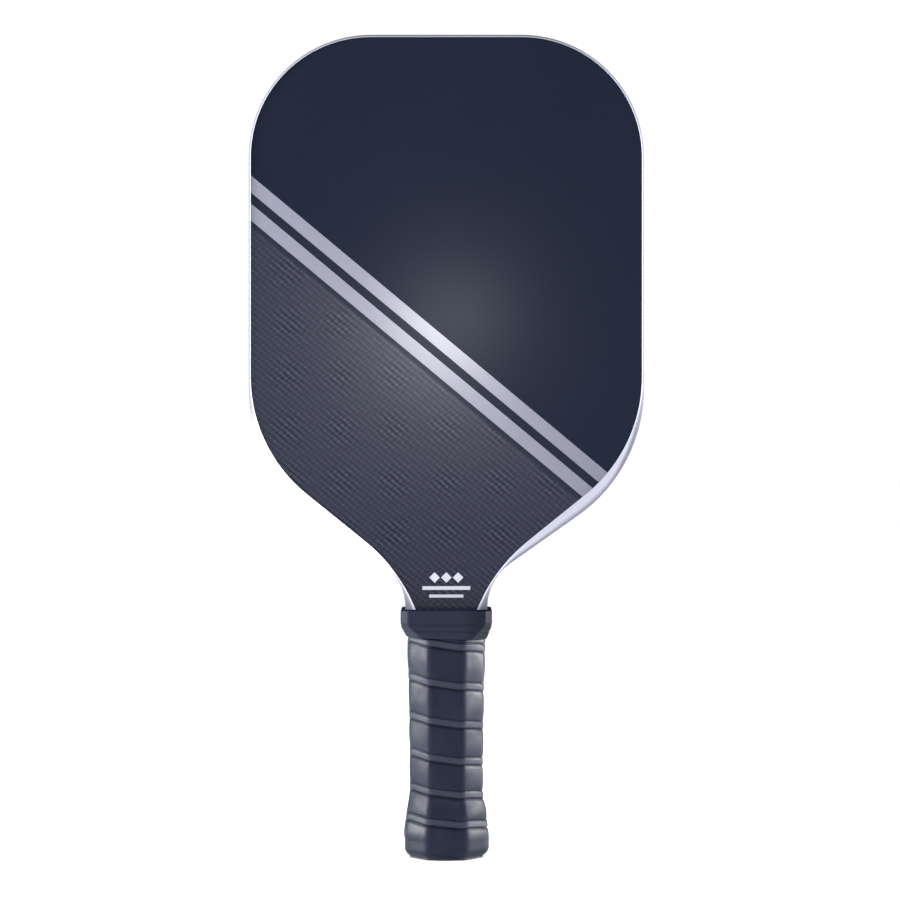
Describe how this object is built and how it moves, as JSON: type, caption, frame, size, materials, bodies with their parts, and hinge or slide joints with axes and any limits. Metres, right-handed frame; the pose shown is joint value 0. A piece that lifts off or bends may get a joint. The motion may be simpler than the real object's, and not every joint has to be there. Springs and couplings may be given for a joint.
{
  "type": "pickleball paddle",
  "caption": "Rigid paddle with a rounded rectangular face, diagonal printed stripes, a pale edge guard and an octagonal wrapped handle with a rubber collar.",
  "frame": {"origin": "middle of the flat end of the handle's butt", "axes": "+Z along the handle to the top of the head; the front playing face looks along -Y; +X to the right seen from the front"},
  "size_m": [0.1954, 0.0348, 0.4064],
  "materials": {
    "film_satin": "smooth satin printed film, dark slate blue",
    "film_weave": "satin film over twill cloth, the weave showing through",
    "film_silver": "silver metallic ink stripe",
    "mark_print": "pale grey ink",
    "carbon_skin": "carbon fibre and epoxy laminate, 0.5 mm",
    "bond_film": "translucent adhesive film",
    "honeycomb": "translucent polypropylene honeycomb",
    "guard_pale": "pale lavender-white moulded edge guard",
    "handle_foam": "rigid structural foam",
    "cap_black": "textured moulded plastic",
    "badge_plain": "plain blank end plate",
    "staple_steel": "plated steel wire",
    "wrap_black": "cushioned synthetic leather grip wrap, satin",
    "tape_black": "thin vinyl tape",
    "collar_rubber": "satin rubber"
  },
  "bodies": {
    "root": {"honeycomb_core": "honeycomb", "front_bond_film": "bond_film", "front_face_skin": "carbon_skin", "front_satin_panel": "film_satin", "front_upper_stripe": "film_silver", "front_stripe_gap": "film_satin", "front_lower_stripe": "film_silver", "front_pinstripe": "film_satin", "front_weave_panel": "film_weave", "front_throat_mark": "mark_print", "handle_front_half": "handle_foam", "back_bond_film": "bond_film", "back_face_skin": "carbon_skin", "back_satin_panel": "film_satin", "back_upper_stripe": "film_silver", "back_stripe_gap": "film_satin", "back_lower_stripe": "film_silver", "back_pinstripe": "film_satin", "back_weave_panel": "film_weave", "back_throat_mark": "mark_print", "handle_back_half": "handle_foam", "edge_guard": "guard_pale", "butt_cap": "cap_black", "butt_cap_staples": "staple_steel", "butt_badge": "badge_plain", "grip_wrap": "wrap_black", "finishing_tape": "tape_black", "grip_collar": "collar_rubber"}
  },
  "joints": []
}
